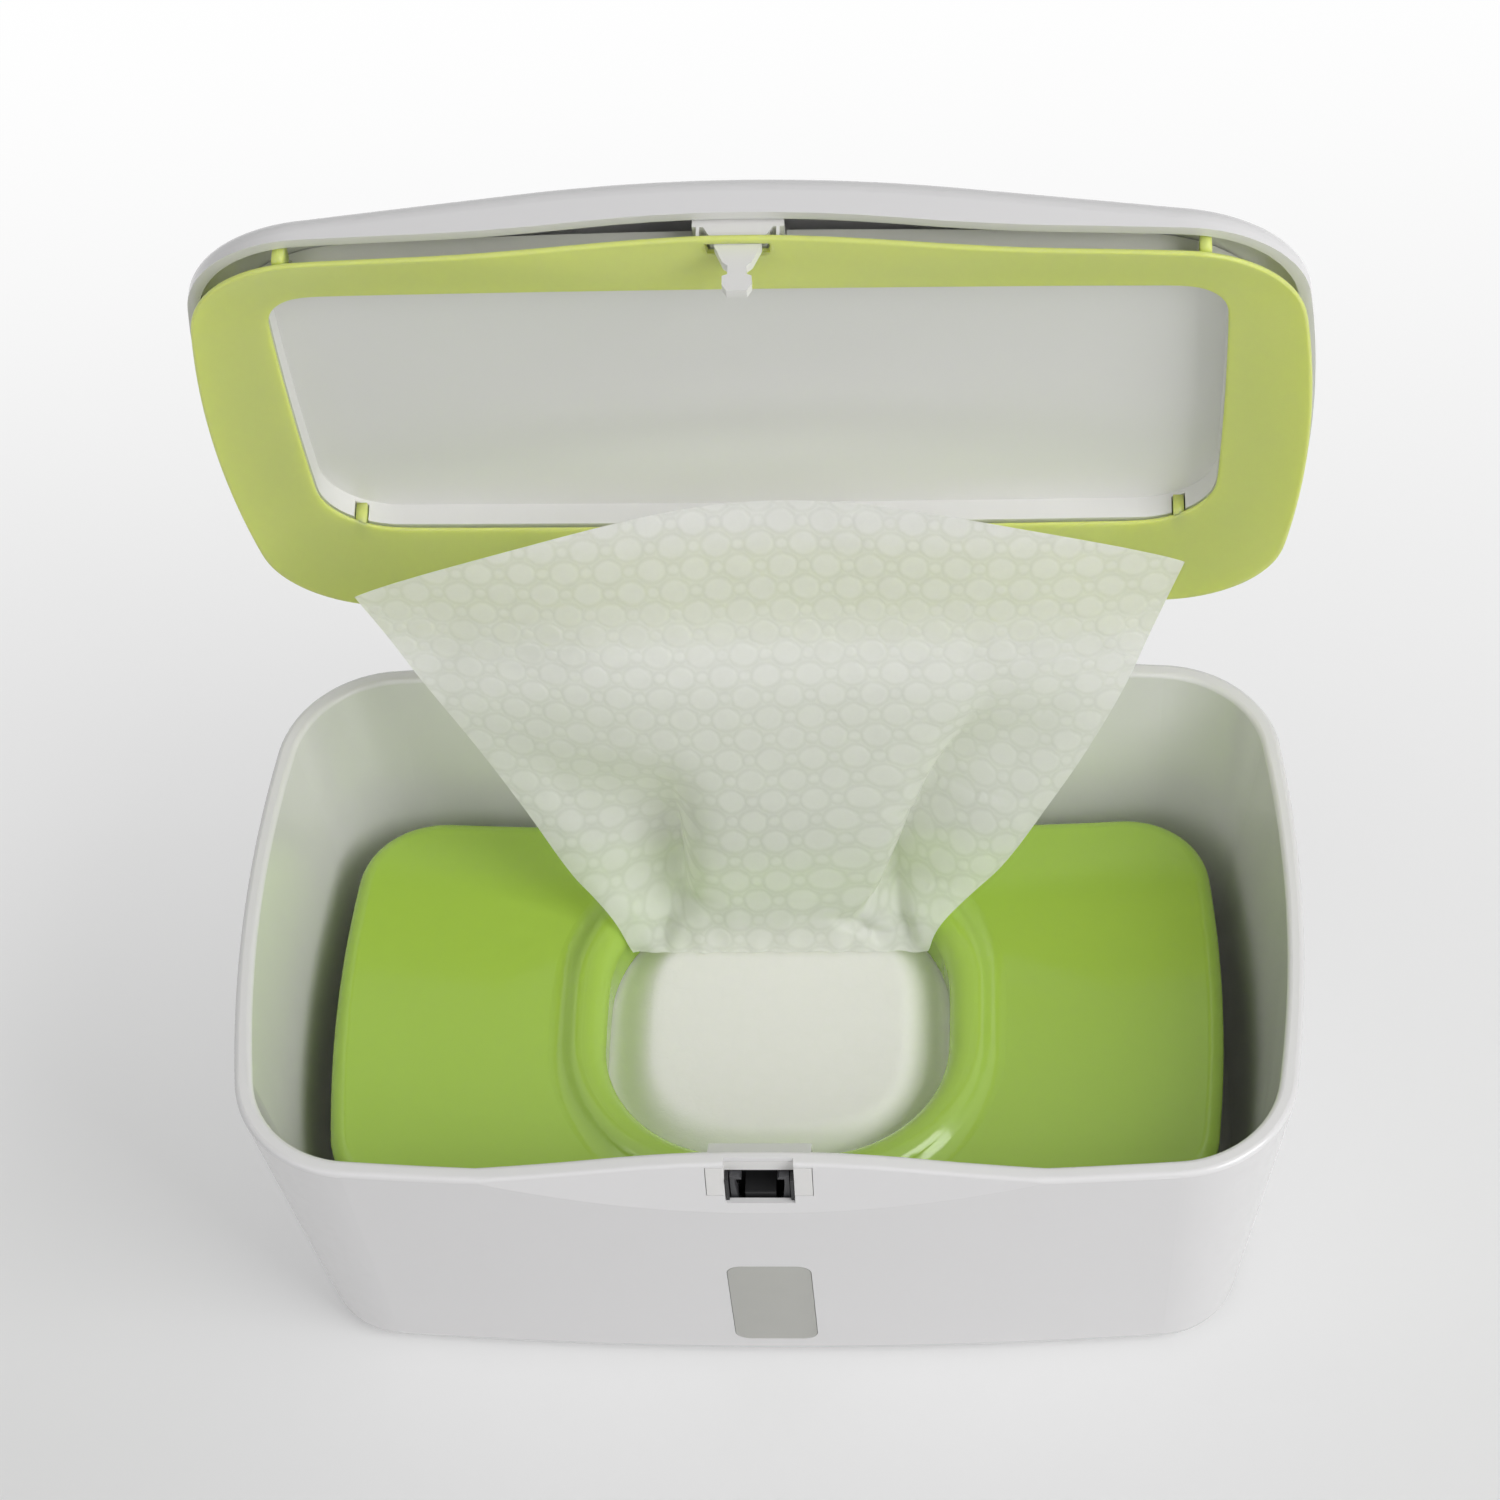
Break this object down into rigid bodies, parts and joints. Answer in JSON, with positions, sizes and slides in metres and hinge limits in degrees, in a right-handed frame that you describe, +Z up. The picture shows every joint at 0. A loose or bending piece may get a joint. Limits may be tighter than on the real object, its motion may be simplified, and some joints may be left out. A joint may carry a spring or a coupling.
{
  "type": "wipes dispenser",
  "caption": "Tabletop box for moist wipes with a spring-opened flip lid, gasket, touch latch, level window and a weighted plate with a slot.",
  "frame": {"origin": "middle of the base, on the table top", "axes": "+Z up, -Y towards the latch at the front, +X to the right seen from the front"},
  "size_m": [0.2232, 0.1533, 0.2362],
  "materials": {
    "white_plastic": "smooth glossy white ABS",
    "green_plastic": "glossy leaf-green ABS",
    "green_silicone": "soft satin yellow-green silicone",
    "clear_plastic": "frosted clear polystyrene",
    "black_plastic": "matt black acetal",
    "grey_plastic": "dark grey acetal",
    "white_acetal": "satin white acetal",
    "steel": "plain steel",
    "spring_steel": "drawn spring wire",
    "foot_rubber": "grey non-slip rubber",
    "wipe_fabric": "moist embossed nonwoven, white"
  },
  "bodies": {
    "root": {"tub_shell": "white_plastic", "window": "clear_plastic", "rubber_feet": "foot_rubber", "hinge_pins": "steel", "hinge_spring_left": "spring_steel", "hinge_spring_right": "spring_steel", "latch_bezel": "white_plastic", "latch_housing": "black_plastic", "jaw_pins": "steel", "latch_spring": "spring_steel", "wipe_stack": "wipe_fabric"},
    "lid": {"lid_shell": "white_plastic", "lid_liner": "white_plastic", "liner_screws": "steel", "lid_gasket": "green_silicone", "striker": "white_acetal", "striker_bracket": "white_acetal"},
    "plate": {"plate_top": "green_plastic", "plate_weight": "steel", "plate_base": "green_plastic", "pulled_wipe": "wipe_fabric"},
    "slider": {"latch_slider": "black_plastic"},
    "jaw_left": {"latch_jaw_left": "grey_plastic"},
    "jaw_right": {"latch_jaw_right": "grey_plastic"}
  },
  "joints": [
    {"name": "lid_hinge", "type": "hinge", "parent": "root", "child": "lid", "pos_m": [0, 0.078, 0.0893], "axis": [1, 0, 0], "range_deg": [0, 78.6], "stiffness_Nm_per_rad": 0.075, "springref_deg": -57.3, "deforming": ["pulled_wipe"]},
    {"name": "plate_slide", "type": "slide", "parent": "root", "child": "plate", "axis": [0, 0, 1], "range_m": [-0.03, 0], "deforming": ["wipe_stack"]},
    {"name": "latch_slide", "type": "slide", "parent": "root", "child": "slider", "axis": [0, 0, 1], "range_m": [-0.004, 0], "stiffness_N_per_m": 300, "springref_m": 0.0005, "deforming": ["latch_spring"]},
    {"name": "jaw_left_pivot", "type": "hinge", "parent": "root", "child": "jaw_left", "pos_m": [-0.005, -0.0643, 0.0695], "axis": [0, 1, 0], "range_deg": [0, 20]},
    {"name": "jaw_right_pivot", "type": "hinge", "parent": "root", "child": "jaw_right", "pos_m": [0.005, -0.0643, 0.0695], "axis": [0, -1, 0], "range_deg": [0, 20]}
  ],
  "couplings": [
    {"joint": "jaw_left_pivot", "follows": "latch_slide", "rad_per_m": -41.2},
    {"joint": "jaw_right_pivot", "follows": "latch_slide", "rad_per_m": -41.2}
  ]
}
